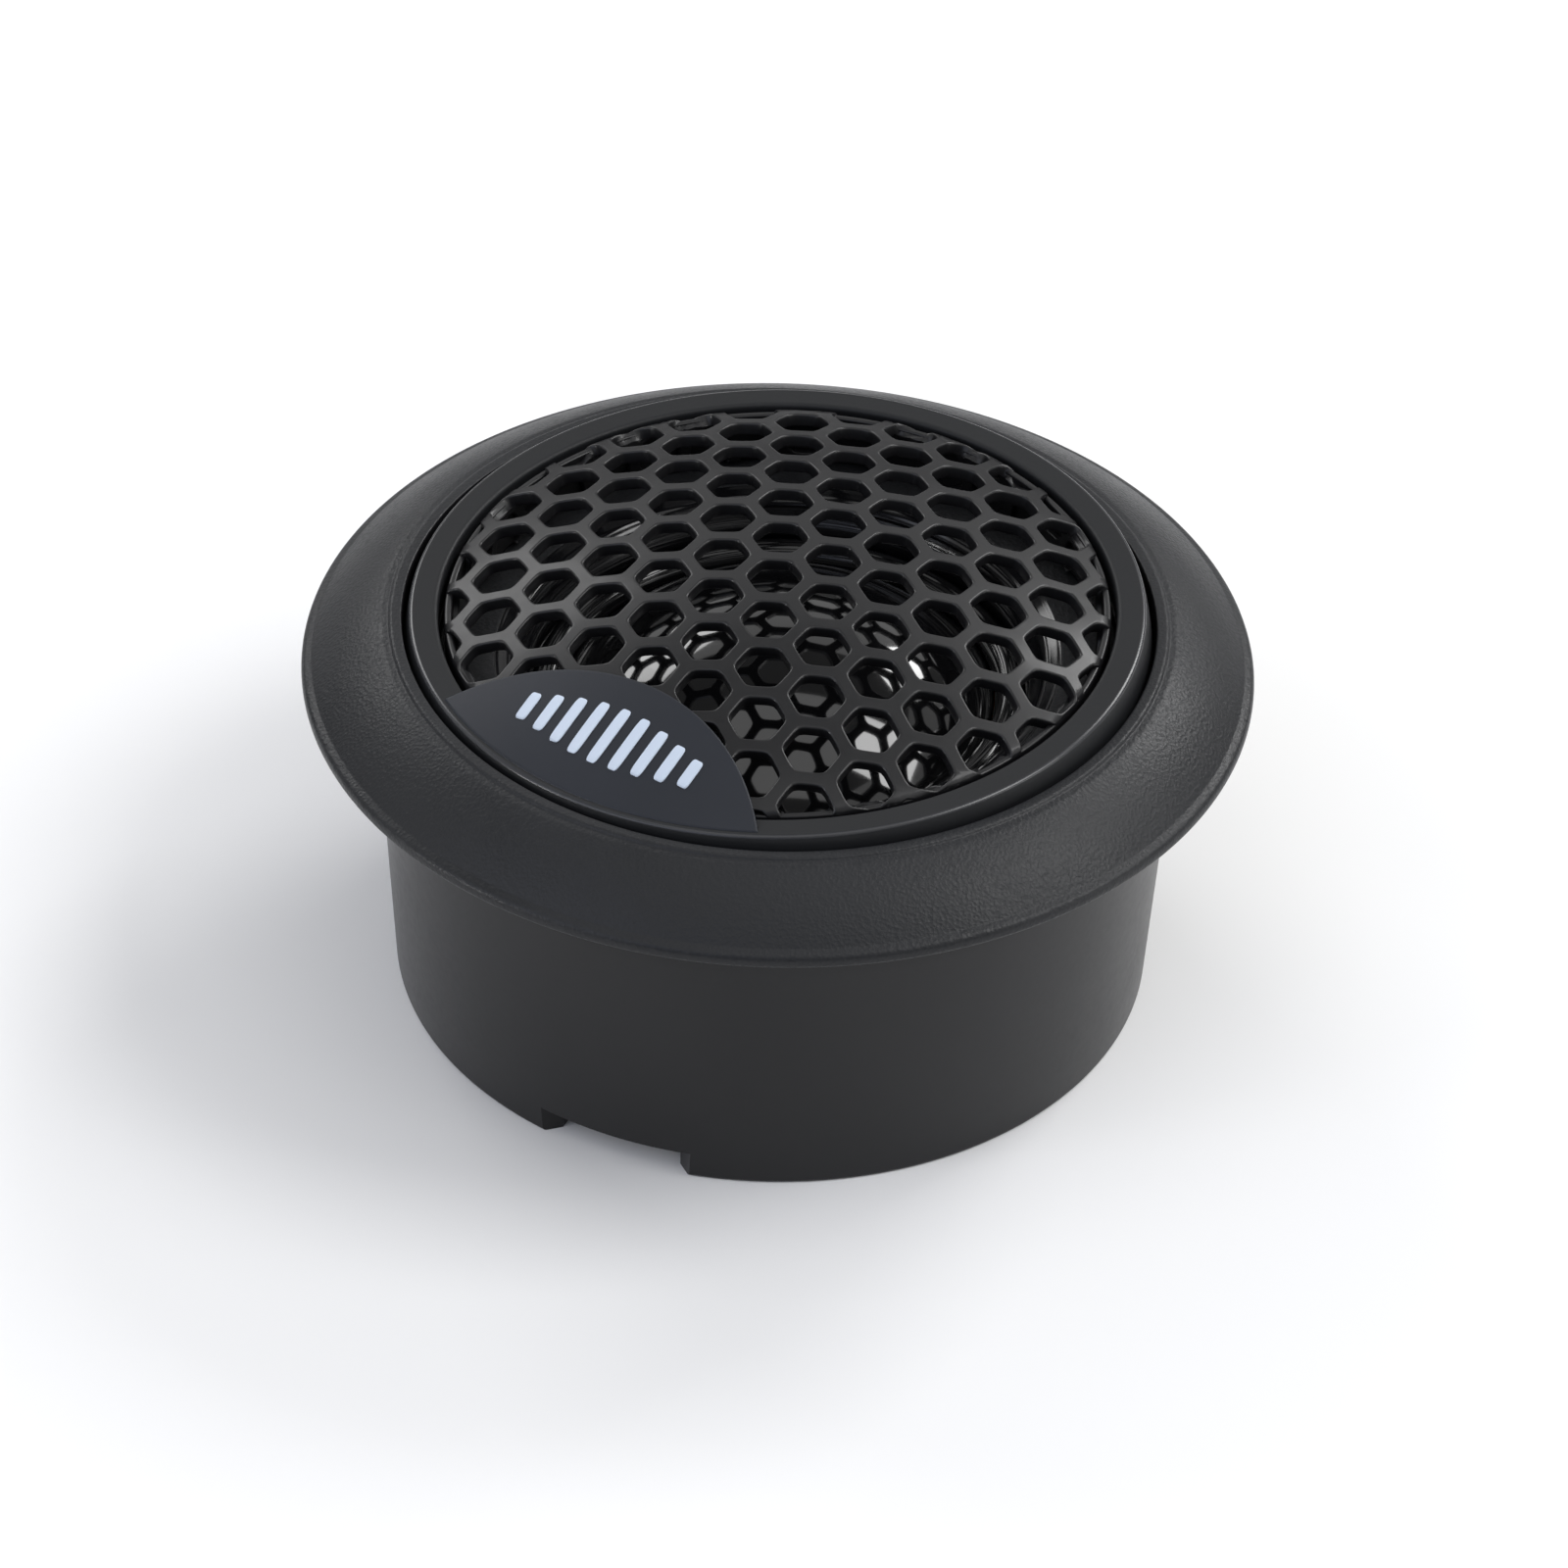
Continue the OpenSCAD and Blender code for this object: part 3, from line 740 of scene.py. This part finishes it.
@dataclass
class Badge:
    """Lens-shaped plate over the bezel and the mesh, with a generic row of printed bars."""

    axes: Axes
    azimuth: float = 237.0
    outer_r: float = 21.2
    arc_d: float = 27.7                # distance of the inner edge's centre from the axis
    arc_r: float = 14.5
    skin: float = 0.55
    gap: float = 0.15                  # clearance over the mesh
    edge_h: float = 5.2                # height of the mesh dome's edge
    edge_r: float = 19.5
    rise: float = 3.6
    lip: float = 0.14                  # width of the rounded border
    seat_margin: float = 0.22          # how far inside its outline the bezel is lowered for it
    seat_gap: float = 0.03
    bars: int = 9
    bar_w: float = 0.7
    bar_step: float = 1.4
    bar_short: float = 1.4
    bar_long: float = 3.8
    bar_phase: float = 80.0            # degrees of the lengths' cosine, one step past the row's end
    mark_r: float = 17.2
    print_t: float = 0.07

    def underside(self, radius: np.ndarray) -> np.ndarray:
        """Height of the underside: edge + gap + rise (1 - (r / R)^2), carried on over the bezel."""
        return self.edge_h + self.gap + self.rise * (1 - (radius / self.edge_r) ** 2)

    def border(self, points: np.ndarray) -> np.ndarray:
        """Distance of points in the plan from the outline, positive inside it."""
        angle = math.radians(self.azimuth)
        centre = self.arc_d * np.array([math.cos(angle), math.sin(angle)])
        to_arc = self.arc_r - np.linalg.norm(points - centre, axis=-1)
        to_rim = self.outer_r - np.linalg.norm(points, axis=-1)
        return np.minimum(to_arc, to_rim)

    def top(self, plan: np.ndarray) -> np.ndarray:
        """Height of the upper side: underside + skin, less a quarter round as wide as the lip."""
        radius = np.linalg.norm(plan, axis=-1)
        near = 1 - np.clip(self.border(plan) / self.lip, 0, 1)
        return self.underside(radius) + self.skin - self.lip * (1 - np.sqrt(1 - near * near))

    def turned(self, x: np.ndarray, y: np.ndarray) -> np.ndarray:
        """Points whose x runs along the badge's direction, in the capsule's plan."""
        return spun(x, y, self.azimuth)

    def plate(self, maker: Maker) -> None:
        """Plate: y runs between the two points where the arcs meet, x from the inner to the outer arc."""
        meet_x = (self.outer_r ** 2 - self.arc_r ** 2 + self.arc_d ** 2) / (2 * self.arc_d)
        reach = math.sqrt(self.outer_r ** 2 - meet_x ** 2)
        y = reach * np.sin(np.linspace(-math.pi / 2, math.pi / 2, 121))[None, :]
        share = ((1 - np.cos(np.linspace(0, math.pi, 49))) / 2)[:, None]
        inner = self.arc_d - np.sqrt(self.arc_r ** 2 - y * y)
        outer = np.sqrt(self.outer_r ** 2 - y * y)
        plan = self.turned(inner + share * (outer - inner), y + 0 * share)
        above = np.concatenate([plan, self.top(plan)[..., None]], -1)
        below_h = self.underside(np.linalg.norm(plan, axis=-1))
        below = np.concatenate([plan, below_h[..., None]], -1)[::-1]
        patch = grid(np.concatenate([above, below]), wrap_rows=True)
        maker.piece("badge", [patch], [BADGE_ABS], "badge_plastic", ["badge_plate"])

    def mark(self, maker: Maker) -> None:
        """Bars: each outline is |x/a|^6 + |y/b|^6 = 1, shrunk in rings to its middle."""
        number = np.arange(self.bars) - (self.bars - 1) / 2
        swing = np.radians(self.bar_phase * number / ((self.bars + 1) / 2))
        length = self.bar_short + (self.bar_long - self.bar_short) * np.cos(swing) ** 2
        angle = np.linspace(0, FULL_TURN, 49)[:-1]
        cos, sin = np.cos(angle), np.sin(angle)
        size = (np.abs(cos) ** 6 + np.abs(sin) ** 6) ** (-1 / 6)
        ring = np.array([0.0, 0.35, 0.7, 0.94, 1.0, 1.0])[None, :, None]
        lift = np.array([1.0, 1.0, 1.0, 1.0, 0.7, -0.6])[None, :, None] * self.print_t
        x = self.mark_r + ring * (length / 2)[:, None, None] * (cos * size)
        y = (number * self.bar_step)[:, None, None] + ring * self.bar_w / 2 * (sin * size)
        plan = self.turned(x, y)
        points = np.concatenate([plan, (self.top(plan) + lift)[..., None]], -1)
        patches = [grid(bar, wrap_columns=True) for bar in points]
        for patch in patches:
            last = len(angle) * (ring.size - 1)
            patch.polygons = [list(range(last, last + len(angle)))]
        maker.piece("badge_bars", patches, [BADGE_INK], "badge_ink", ["badge_print"], crease=60)

    def build(self) -> None:
        """Makes the plate and its print."""
        maker = Maker(self.axes, "capsule")
        self.plate(maker)
        self.mark(maker)


# ---------------------------------------------------------------- grille

@dataclass
class Grille:
    """Domed sheet of hexagonal cells whose edge is bent down into the recess."""

    axes: Axes
    edge_r: float = 19.5
    edge_h: float = 5.2
    rise: float = 3.56
    bend_start: float = 19.2           # plan radius where the edge starts to bend down
    bend_r: float = 0.45               # outer radius of that bend
    thickness: float = 0.8
    pitch: float = 3.77
    strut_w: float = 0.85
    turn: float = -4.1                 # degrees that the rows of cells are turned
    foot_h: float = 1.7                # bottom of the bent edge
    hem_top: float = 5.0
    hem_t: float = 0.45
    side_steps: int = 6                # steps along each side of a cell
    soft: int = 12                     # power that rounds a hole's corners, larger for sharper ones
    flat: float = 0.74                 # share of a strut's half width that is flat on top
    guard: float = 0.08                # share between the flat's last two rows of points
    round_steps: int = 3               # steps of each rounded edge
    round_t: float = 0.13              # depth of each rounded edge

    def skin(self, distance: np.ndarray) -> tuple[np.ndarray, np.ndarray, np.ndarray]:
        """Outer side of the sheet at a distance from its middle, measured in the flat.

        Up to the bend, r is the distance and h = edge + rise (1 - (r / R)^2). Round the bend
        the slope grows evenly with the distance until it is upright, and then the sheet runs down.

        Args:
            distance: distance from the middle.

        Returns:
            Radius, height and downward slope in radians.
        """
        share = np.minimum(distance, self.bend_start) / self.edge_r
        height = self.edge_h + self.rise * (1 - share ** 2)
        slope = np.arctan(2 * self.rise / self.edge_r * share)
        past = np.maximum(distance - self.bend_start, 0)
        steep = np.minimum(slope + past / self.bend_r, math.pi / 2)
        straight = np.maximum(past - (math.pi / 2 - slope) * self.bend_r, 0)
        radius = np.minimum(distance, self.bend_start)
        bent_r = radius + self.bend_r * (np.sin(steep) - np.sin(slope)) * (past > 0)
        bent_h = height - self.bend_r * (np.cos(slope) - np.cos(steep)) * (past > 0) - straight
        drop = np.where(past > 0, steep, slope)
        shrink = (self.edge_r - self.bend_start) / (self.bend_r * (1 - math.sin(float(slope.max()))))
        return radius + (bent_r - radius) * min(shrink, 1.0), bent_h, drop

    def cut(self) -> float:
        """Distance in the flat at which the sheet ends, just above its foot."""
        distance = np.linspace(self.bend_start, self.edge_r + 6, 400)
        height = self.skin(distance)[1]
        return float(distance[np.argmax(height < self.foot_h + 0.25)])

    def centres(self, reach: float) -> np.ndarray:
        """Middles of the cells that come within a reach of the axis, in the plan."""
        count = math.ceil(reach / (self.pitch * math.sqrt(3) / 2)) + 1
        numbers = np.arange(-count, count + 1)
        column, row = np.meshgrid(numbers, numbers, indexing="ij")
        x = column * self.pitch * math.sqrt(3) / 2
        y = (row + np.where(column % 2 == 1, 0.0, 0.5)) * self.pitch
        plan = spun(x, y, self.turn).reshape(-1, 2)
        return plan[np.linalg.norm(plan, axis=1) < reach + self.pitch / 2]

    def cells(self) -> Patch:
        """All cells as one patch.

        Round a cell's middle, the strut's middle line is a hexagon and the hole is the same hexagon
        with soft corners, 1 / r^12 = sum of (cos(t - n) / a)^12 over its six sides n. From the top of
        a strut to its underside, the plan moves from the first to the second and back: a flat, a
        quarter of an ellipse, an upright side, and the same again.
        """
        cut = self.cut()
        middle = self.centres(cut)
        normals = np.radians(np.arange(6) * 60 + 30 + self.turn)
        around = np.arange(6 * self.side_steps) * FULL_TURN / (6 * self.side_steps)
        theta = around + math.radians(self.turn)
        facing = np.maximum(np.cos(theta[:, None] - normals), 0)
        line_r = self.pitch / 2 / facing.max(axis=1)
        hole_r = (self.pitch - self.strut_w) / 2 / (facing ** self.soft).sum(axis=1) ** (1 / self.soft)
        phi = np.linspace(0, math.pi / 2, self.round_steps + 1)
        round_out = self.flat + (1 - self.flat) * np.sin(phi)
        round_depth = self.round_t * (1 - np.cos(phi))
        out = np.concatenate([[0.0, self.flat - self.guard], round_out])
        out = np.concatenate([out, out[::-1]])
        top = np.concatenate([[0.0, 0.0], round_depth])
        depth = np.concatenate([top, self.thickness - top[::-1]])
        reach = line_r + out[:, None] * (hole_r - line_r)
        plan = middle[:, None, None] + reach[..., None] * np.stack([np.cos(theta), np.sin(theta)], -1)
        distance = np.linalg.norm(plan, axis=-1)
        bearing = np.arctan2(plan[..., 1], plan[..., 0])
        radius, height, slope = self.skin(np.minimum(distance, cut))
        radius = radius - depth[:, None] * np.sin(slope)
        height = height - depth[:, None] * np.cos(slope)
        points = np.stack([radius * np.cos(bearing), radius * np.sin(bearing), height], -1)
        count, rows, columns = points.shape[:3]
        first = grid(points[0], wrap_columns=True)
        quads = (first.quads[None] + (np.arange(count) * rows * columns)[:, None, None]).reshape(-1, 4)
        gone = (distance >= cut).reshape(-1)[quads].all(axis=1)
        return Patch(points.reshape(-1, 3), quads[~gone])

    def hem(self) -> Patch:
        """Unbroken foot of the bent edge, which holds the ends of the struts."""
        inner = self.edge_r - self.hem_t
        corners = [(inner, self.foot_h, 0.15), (self.edge_r, self.foot_h, 0.15),
                   (self.edge_r, self.hem_top, 0.18), (inner, self.hem_top, 0.18)]
        return lathe(support(soften(corners)))

    def build(self) -> None:
        """Makes the mesh and its hem as one piece."""
        patches = [self.cells(), self.hem()]
        maker = Maker(self.axes, "capsule")
        maker.piece("mesh_grille", patches, [GRILLE_PAINT], "grille_paint", ["grille"], crease=70)


# ---------------------------------------------------------------- face and diaphragm

@dataclass
class Face:
    """Textured ring with the horn's throat, seen through the mesh."""

    axes: Axes
    top_h: float = 1.6
    wall_r: float = 19.95
    outer_r: float = 20.4
    rim_h: float = 2.4
    horn_r: float = 16.8               # where the flat ring turns into the horn
    throat_r: float = 14.8
    throat_h: float = -0.9
    foot_h: float = -1.5
    ridges: int = 2                    # fine steps down the horn
    ridge_w: float = 0.1

    def build(self) -> None:
        """Horn: a quarter ellipse from ring to throat, with fine steps that catch the light."""
        turn = np.linspace(0, math.pi / 2, 25)
        r = self.horn_r - (self.horn_r - self.throat_r) * np.sin(turn)
        h = self.top_h - (self.top_h - self.throat_h) * (1 - np.cos(turn))
        step = self.ridge_w * np.clip(np.sin(turn * 4 * self.ridges) * 3, -1, 1)
        horn = [(float(a), float(b), 0.0) for a, b in zip(r + step * (turn > 0.1), h)]
        corners = [
            (self.throat_r, self.foot_h, 0.05), (self.outer_r, self.foot_h, 0.05),
            (self.outer_r, self.rim_h, 0.1), (self.wall_r, self.rim_h, 0.1),
            (self.wall_r, self.top_h, 0.15), *horn,
        ]
        outline = support(soften(corners), longest=0.8)
        middle = side_middles(outline)
        polished = (middle[:, 0] < self.horn_r - 0.02) & (middle[:, 1] < self.top_h - 0.01)
        patch = lathe(outline, finish=np.where(polished, 1, 0))
        maker = Maker(self.axes, "capsule")
        maker.piece("face_ring", [patch], [FACE_ABS, HORN_ABS], "face_plastic", ["face_plate"])


@dataclass
class Diaphragm:
    """Dome with its coil, and the half-roll surround that joins it to the face."""

    axes: Axes
    dome_r: float = 12.75
    rim_h: float = -1.6
    rise: float = 5.5
    film: float = 0.3
    film_in: float = 0.2               # how far inside the rim the dome's underside ends
    roll_mid_r: float = 13.74
    roll_r: float = 0.94
    roll_h: float = -1.5
    roll_film: float = 0.22
    flange_r: float = 16.3
    flange_t: float = 0.3
    sectors: int = 16

    def dome(self) -> None:
        """Dome: part of a ball through the rim and the crown, and the same set in by the film."""
        ball = (self.dome_r ** 2 + self.rise ** 2) / (2 * self.rise)
        inside = ball - self.film
        centre = self.rim_h + self.rise - ball
        out = np.linspace(0, math.asin(self.dome_r / ball), 64)
        back = np.linspace(math.asin((self.dome_r - self.film_in) / inside), 0, 64)
        outer = np.column_stack([ball * np.sin(out), centre + ball * np.cos(out)])
        inner = np.column_stack([inside * np.sin(back), centre + inside * np.cos(back)])
        inner[:, 1] = np.maximum(inner[:, 1], self.rim_h)
        maker = Maker(self.axes, "diaphragm")
        patch = lathe(np.vstack([outer, inner]))
        maker.piece("dome_skin", [patch], [DOME_FILM], "dome_film", ["dome"], crease=50)

    def surround(self) -> None:
        """Surround: a half circle and a clamped flange, in sectors."""
        half = np.linspace(0, math.pi, 17)
        inside = self.roll_r - self.roll_film
        arc, middle = np.column_stack([np.cos(half), np.sin(half)]), [self.roll_mid_r, self.roll_h]
        outer, inner = middle + self.roll_r * arc[::-1], middle + inside * arc
        flange = np.array([[self.flange_r, self.roll_h], [self.flange_r, self.roll_h - self.flange_t],
                           [self.roll_mid_r + inside, self.roll_h - self.flange_t]])
        outline = np.vstack([outer, flange, inner])
        width = FULL_TURN / self.sectors
        hold_r, free_r = self.roll_mid_r + self.roll_r, self.roll_mid_r - self.roll_r
        maker = Maker(self.axes, "capsule")
        for number in range(self.sectors):
            span = (number * width, (number + 1) * width)
            made = maker.mesh(f"surround_{number + 1:02d}", [lathe(outline, 24, span)], [SURROUND_COAT])
            made.data.shade_smooth()
            made.data.set_sharp_from_angle(angle=math.radians(40))
            outward = np.array([math.cos(sum(span) / 2), math.sin(sum(span) / 2), 0])
            start = self.axes.place(outward * hold_r + [0, 0, self.roll_h])
            end = self.axes.place(outward * free_r + [0, 0, self.roll_h])
            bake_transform(made)
            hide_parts("surround")
            LOG.info("%s: %d faces between capsule and diaphragm", made.name, len(made.data.polygons))

    def build(self) -> None:
        """Makes dome and surround, and dresses the coil."""
        self.dome()
        self.surround()
        dress("voice_coil_former", FORMER_FILM)
        dress("voice_coil", COIL_WIRE)


# ---------------------------------------------------------------- motor and terminals

@dataclass
class Motor:
    """Carrier, magnet system and terminals inside the capsule."""

    axes: Axes
    lead_x: float = 4.2
    lead_y: float = 15.3
    board_low: float = -14.4
    joint_r: float = 0.85              # radius of a solder joint's foot
    joint_top_r: float = 0.32
    joint_h: float = 0.55

    def solder(self) -> None:
        """Solder joints: a bell whose radius falls from foot to wire as (1 - t)^2."""
        t = np.linspace(0, 1, 10)
        bell_r = self.joint_top_r + (self.joint_r - self.joint_top_r) * (1 - t) ** 2
        bell = np.column_stack([bell_r, self.board_low - self.joint_h * t])
        closed = np.vstack([[0, self.board_low + 0.02], [self.joint_r, self.board_low + 0.02], bell,
                            [0, self.board_low - self.joint_h - 0.08]])
        patches = []
        for side in (-1, 1):
            patch = lathe(closed, columns=48)
            patch.points[:, :2] += [side * self.lead_x, self.lead_y]
            patches.append(patch)
        Maker(self.axes, "capsule").piece("solder_joints", patches, [SOLDER], "tab_brass", crease=60)

    def build(self) -> None:
        """Dresses the CAD pieces of the motor, and adds the solder joints."""
        for node, finish in {
            "carrier_ring": CARRIER_ABS, "clamp_screws": SCREW_STEEL, "top_plate": POLE_STEEL,
            "magnet": MAGNET_NICKEL, "yoke": POLE_STEEL, "damping_pad": FELT, "rear_foam": FOAM,
            "terminal_board": BOARD, "terminal_tabs": TINNED_BRASS, "coil_leads": COIL_WIRE,
        }.items():
            dress(node, finish)
        self.solder()


# ---------------------------------------------------------------- studio

@dataclass(frozen=True)
class Softbox:
    """One soft light that faces the object.

    The azimuth counts in degrees from +X towards +Y and the elevation from the floor; distance,
    width and height are metres, power is watts, and the colour is sRGB.
    """

    name: str
    azimuth: float
    elevation: float
    distance: float
    width: float
    height: float
    power: float
    colour: str = "#ffffff"


SOFTBOXES = (
    Softbox("key_right", -4, 52, 0.8, 0.34, 0.34, 2.4),
    Softbox("low_right", 0, 26, 1.1, 1.5, 0.8, 1.5),
    Softbox("low_left", 190, 32, 1.1, 1.5, 0.9, 2.6),
    Softbox("front_left", 225, 38, 1.1, 1.2, 0.8, 2.9, "#dfe7ff"),
    Softbox("front_right", 315, 34, 1.1, 1.2, 0.8, 1.7),
    Softbox("top", 270, 82, 1.1, 0.9, 0.9, 2.4),
    Softbox("rear", 90, 34, 1.1, 1.6, 0.7, 2.1),
    Softbox("rear_right", 48, 36, 0.9, 0.3, 0.3, 2.7),
    Softbox("rear_left", 125, 32, 0.9, 0.4, 0.3, 1.6),
    Softbox("strip_left", 200, 7, 0.7, 0.16, 0.1, 0.9),
    Softbox("strip_right", 344, 7, 0.7, 0.3, 0.1, 0.5),
    Softbox("under", 270, -89, 1.0, 3.4, 3.4, 22.0),
)


@dataclass
class Studio:
    """Camera, pale floor and soft lights."""

    aim: Vector                        # point on the cup's axis, level with the flange's rim, in metres
    elevation: float = 37.226          # degrees of the line from that point to the camera
    distance: float = 0.443
    lens: float = 172.9
    dip: float = 0.94                  # degrees that the camera looks below that point
    pan: float = 0.0895                # degrees that it looks to the right of it
    roll: float = 1.64                 # degrees that its right side is lifted
    ambient: float = 0.13              # the room's light on the object
    backdrop: float = 0.93             # the room's wall as the camera sees it
    floor_half: float = 6.0            # half the floor's side, in metres

    def camera(self) -> None:
        """Places the camera and turns it by its dip, pan and roll."""
        rise, low = math.radians(self.elevation), math.radians(self.elevation + self.dip)
        pan, roll = math.radians(self.pan), math.radians(self.roll)
        place = self.aim + self.distance * Vector((0, -math.cos(rise), math.sin(rise)))
        ahead = Vector((math.sin(pan) * math.cos(low), math.cos(pan) * math.cos(low), -math.sin(low)))
        level = ahead.cross(Vector((0, 0, 1))).normalized()
        above = level.cross(ahead)
        right = math.cos(roll) * level + math.sin(roll) * above
        up = math.cos(roll) * above - math.sin(roll) * level
        turn = Matrix((right, up, -ahead)).transposed().to_4x4()
        data = bpy.data.cameras.new("camera")
        data.lens, data.sensor_width, data.clip_start = self.lens, 36, 0.01
        camera = bpy.data.objects.new("camera", data)
        camera.matrix_world = Matrix.Translation(place) @ turn
        bpy.context.scene.collection.objects.link(camera)
        bpy.context.scene.camera = camera

    def floor(self) -> None:
        """Plain pale floor, clear when seen from underneath."""
        half = self.floor_half
        mesh = bpy.data.meshes.new("floor")
        corners = [(-half, -half, 0), (half, -half, 0), (half, half, 0), (-half, half, 0)]
        mesh.from_pydata(corners, [], [(0, 1, 2, 3)])
        material = bpy.data.materials.new("pale_paper")
        material.use_nodes = True
        tree = material.node_tree
        paper = tree.nodes["Principled BSDF"]
        levels = {"Base Color": linear("#f2f2f2"), "Roughness": 0.9, "Specular IOR Level": 0.0}
        for socket, level in levels.items():
            paper.inputs[socket].default_value = level
        back = add_node(tree, "NewGeometry").outputs["Backfacing"]
        clear = add_node(tree, "BsdfTransparent").outputs[0]
        mix = add_node(tree, "MixShader", None, {0: back, 1: paper.outputs[0], 2: clear})
        tree.links.new(mix.outputs[0], tree.nodes["Material Output"].inputs["Surface"])
        mesh.materials.append(material)
        floor = bpy.data.objects.new("floor", mesh)
        floor.visible_diffuse = False       # the room's light reaches the object's underside
        floor.visible_shadow = False        # and so does the light from below
        bpy.context.scene.collection.objects.link(floor)

    def light(self, box: Softbox) -> None:
        """Hangs one softbox, facing the object."""
        data = bpy.data.lights.new(box.name, "AREA")
        data.shape, data.size, data.size_y = "RECTANGLE", box.width, box.height
        data.energy, data.color = box.power, linear(box.colour)[:3]
        a, e = math.radians(box.azimuth), math.radians(box.elevation)
        out = Vector((math.cos(a) * math.cos(e), math.sin(a) * math.cos(e), math.sin(e)))
        light = bpy.data.objects.new(box.name, data)
        facing = out.to_track_quat("Z", "Y").to_matrix().to_4x4()
        light.matrix_world = Matrix.Translation(self.aim + box.distance * out) @ facing
        bpy.context.scene.collection.objects.link(light)

    def room(self) -> None:
        """Sets the room's light: dim on the object, and a pale wall where the camera sees it."""
        world = bpy.data.worlds.new("room")
        world.use_nodes = True
        tree = world.node_tree
        seen = add_node(tree, "LightPath").outputs["Is Camera Ray"]
        levels = {"Value": seen, "To Min": self.ambient, "To Max": self.backdrop}
        strength = add_node(tree, "MapRange", None, levels)
        tree.links.new(strength.outputs[0], tree.nodes["Background"].inputs["Strength"])
        tree.nodes["Background"].inputs["Color"].default_value = linear("#ffffff")
        bpy.context.scene.world = world
        bpy.context.scene.view_settings.view_transform = "Standard"

    def build(self) -> None:
        """Makes the studio."""
        self.camera()
        self.floor()
        self.room()
        for box in SOFTBOXES:
            self.light(box)


# ---------------------------------------------------------------- whole object

def main() -> None:
    """Builds the studio and the sub-assemblies."""
    logging.basicConfig(level=logging.INFO, format="%(name)s %(message)s")
    cup_axes, capsule_axes = Axes.upright(), Axes.capsule()
    cup = MountingCup(cup_axes, pivot=float(capsule_axes.centre[2]))
    badge = Badge(capsule_axes)
    rim = Vector((0, 0, (cup.seat_z + cup.rim_t * cup.aim_share) * MM))
    Studio(rim).build()
    cup.build()
    CapsuleHousing(capsule_axes).build(badge)
    badge.build()
    Grille(capsule_axes).build()
    Face(capsule_axes).build()
    Diaphragm(capsule_axes).build()
    Motor(capsule_axes).build()


if __name__ == "__main__":
    main()
